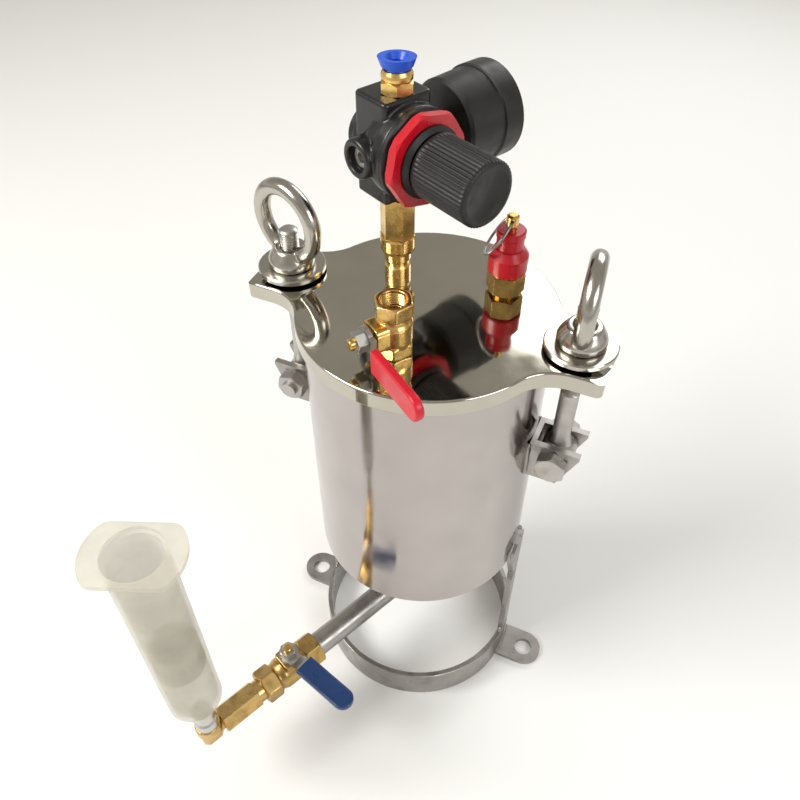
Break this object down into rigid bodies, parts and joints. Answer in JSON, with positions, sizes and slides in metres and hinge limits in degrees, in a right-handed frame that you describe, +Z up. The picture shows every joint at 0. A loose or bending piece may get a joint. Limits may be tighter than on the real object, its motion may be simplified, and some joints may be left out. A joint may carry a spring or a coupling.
{
  "type": "resin pressure pot",
  "caption": "Small clamped-lid stainless pressure pot with air regulator, gauge, relief and vent valves, and a bottom outlet feeding a dispensing syringe.",
  "frame": {"origin": "on the pot's axis at floor level, midway between the two foot holes", "axes": "+Z up along the pot's axis; X runs through the two clamping bolts and foot holes; the outlet leaves toward -Y"},
  "size_m": [0.1678, 0.2279, 0.3474],
  "materials": {
    "aged_brass": "cast and tarnished",
    "black_paint": "semi-gloss",
    "black_plastic": "semi-gloss moulded",
    "blue_plastic": "moulded",
    "brass": "machined",
    "clear_plastic": "translucent moulded",
    "dial_white": "printed face",
    "navy_vinyl": "dipped",
    "polished_steel": "polished",
    "red_metal": "gloss",
    "red_vinyl": "dipped",
    "satin_steel": "satin, weld-stained at the joints",
    "seal_rubber": "matte",
    "spring_steel": "drawn wire",
    "vessel_steel": "polished",
    "white_plastic": "moulded",
    "window": "clear",
    "zinc_steel": "satin zinc plate"
  },
  "bodies": {
    "pot": {"pot_shell": "vessel_steel", "base_ring": "satin_steel", "foot_ears": "satin_steel", "base_legs": "satin_steel", "left_bracket": "satin_steel", "right_bracket": "satin_steel", "hinge_pins": "zinc_steel", "hinge_nuts": "zinc_steel", "outlet_pipe": "satin_steel", "outlet_valve_body": "aged_brass", "outlet_valve_seats": "white_plastic", "outlet_coupling": "brass", "outlet_elbow": "brass", "luer_adapter": "brass"},
    "outlet_valve_handle": {"outlet_valve_ball": "polished_steel", "outlet_valve_stem": "brass", "outlet_lever": "zinc_steel", "outlet_lever_sleeve": "navy_vinyl", "outlet_lever_nut": "zinc_steel"},
    "syringe": {"syringe_barrel": "clear_plastic"},
    "piston": {"syringe_piston": "white_plastic"},
    "lid_assembly": {"lid": "polished_steel", "lid_gasket": "seal_rubber", "vent_valve_body": "brass", "vent_valve_seats": "white_plastic", "safety_valve_body": "brass", "safety_valve_bonnet": "red_metal", "safety_valve_adjuster": "red_metal", "safety_valve_spring": "spring_steel", "riser_nipple": "brass", "riser_coupling": "brass", "regulator_body": "black_paint", "regulator_valve_cap": "black_plastic", "regulator_diaphragm": "seal_rubber", "regulator_bonnet": "black_plastic", "regulator_spring": "spring_steel", "panel_nut": "red_metal", "port_plug": "zinc_steel", "gauge_socket": "brass", "gauge_case": "black_plastic", "gauge_dial": "dial_white", "gauge_window": "window", "push_fitting": "brass"},
    "vent_valve_handle": {"vent_valve_ball": "polished_steel", "vent_valve_stem": "brass", "vent_lever": "zinc_steel", "vent_lever_sleeve": "red_vinyl", "vent_lever_nut": "zinc_steel"},
    "relief_stem": {"safety_valve_stem": "brass"},
    "pull_ring": {"safety_pull_ring": "spring_steel"},
    "spindle": {"regulator_spindle": "zinc_steel"},
    "knob": {"regulator_knob": "black_plastic"},
    "needle": {"gauge_needle": "black_paint"},
    "collar": {"release_collar": "blue_plastic"},
    "left_bolt": {"left_swing_bolt": "zinc_steel"},
    "right_bolt": {"right_swing_bolt": "zinc_steel"},
    "left_washer_body": {"left_washer": "polished_steel"},
    "right_washer_body": {"right_washer": "polished_steel"},
    "left_nut": {"left_eye_nut": "polished_steel"},
    "right_nut": {"right_eye_nut": "polished_steel"}
  },
  "joints": [
    {"name": "lid_lift", "type": "slide", "parent": "pot", "child": "lid_assembly", "axis": [0, 0, 1], "range_m": [0, 0.016]},
    {"name": "left_bolt_swing", "type": "hinge", "parent": "pot", "child": "left_bolt", "pos_m": [-0.0665, 0, 0.19], "axis": [0, -1, 0], "range_deg": [0, 160]},
    {"name": "right_bolt_swing", "type": "hinge", "parent": "pot", "child": "right_bolt", "pos_m": [0.0665, 0, 0.19], "axis": [0, 1, 0], "range_deg": [0, 160]},
    {"name": "left_washer_travel", "type": "slide", "parent": "left_bolt", "child": "left_washer_body", "axis": [0, 0, 1], "range_m": [0, 0.016]},
    {"name": "right_washer_travel", "type": "slide", "parent": "right_bolt", "child": "right_washer_body", "axis": [0, 0, 1], "range_m": [0, 0.016]},
    {"name": "left_eye_nut_turn", "type": "hinge", "parent": "left_washer_body", "child": "left_nut", "pos_m": [-0.0665, 0, 0.262], "axis": [0, 0, 1], "continuous": true},
    {"name": "right_eye_nut_turn", "type": "hinge", "parent": "right_washer_body", "child": "right_nut", "pos_m": [0.0665, 0, 0.262], "axis": [0, 0, 1], "continuous": true},
    {"name": "outlet_lever_turn", "type": "hinge", "parent": "pot", "child": "outlet_valve_handle", "pos_m": [-0.03935, -0.08921, 0.0514], "axis": [0, 0, 1], "range_deg": [-7.8, 82.2]},
    {"name": "vent_lever_turn", "type": "hinge", "parent": "lid_assembly", "child": "vent_valve_handle", "pos_m": [-0.002, -0.031, 0.263], "axis": [-0.5736, -0.8192, 0], "range_deg": [0, 90]},
    {"name": "relief_stem_lift", "type": "slide", "parent": "lid_assembly", "child": "relief_stem", "axis": [0, 0, 1], "range_m": [0, 0.0025], "stiffness_N_per_m": 1500, "deforming": ["safety_valve_spring"]},
    {"name": "pull_ring_swing", "type": "hinge", "parent": "relief_stem", "child": "pull_ring", "pos_m": [0.0262, 0.0243, 0.2875], "axis": [-0.1736, 0.9848, 0], "range_deg": [0, 294]},
    {"name": "spindle_turn", "type": "hinge", "parent": "lid_assembly", "child": "spindle", "pos_m": [-0.0225, 0.018, 0.3135], "axis": [0.8973, -0.4415, 0], "continuous": true},
    {"name": "knob_pull", "type": "slide", "parent": "spindle", "child": "knob", "axis": [0.8973, -0.4415, 0], "range_m": [0, 0.0025]},
    {"name": "needle_sweep", "type": "hinge", "parent": "lid_assembly", "child": "needle", "pos_m": [-0.0225, 0.018, 0.3135], "axis": [-0.4415, -0.8973, 0], "range_deg": [0, 270], "stiffness_Nm_per_rad": 0.0002},
    {"name": "collar_press", "type": "slide", "parent": "lid_assembly", "child": "collar", "axis": [0, 0, -1], "range_m": [0, 0.001], "stiffness_N_per_m": 400},
    {"name": "syringe_lift", "type": "slide", "parent": "pot", "child": "syringe", "axis": [0, 0, 1], "range_m": [0, 0.025]},
    {"name": "piston_slide", "type": "slide", "parent": "syringe", "child": "piston", "axis": [0, 0, 1], "range_m": [-0.031, 0.066]}
  ],
  "couplings": [
    {"joint": "left_washer_travel", "follows": "lid_lift", "ratio": 1},
    {"joint": "right_washer_travel", "follows": "lid_lift", "ratio": 1}
  ]
}
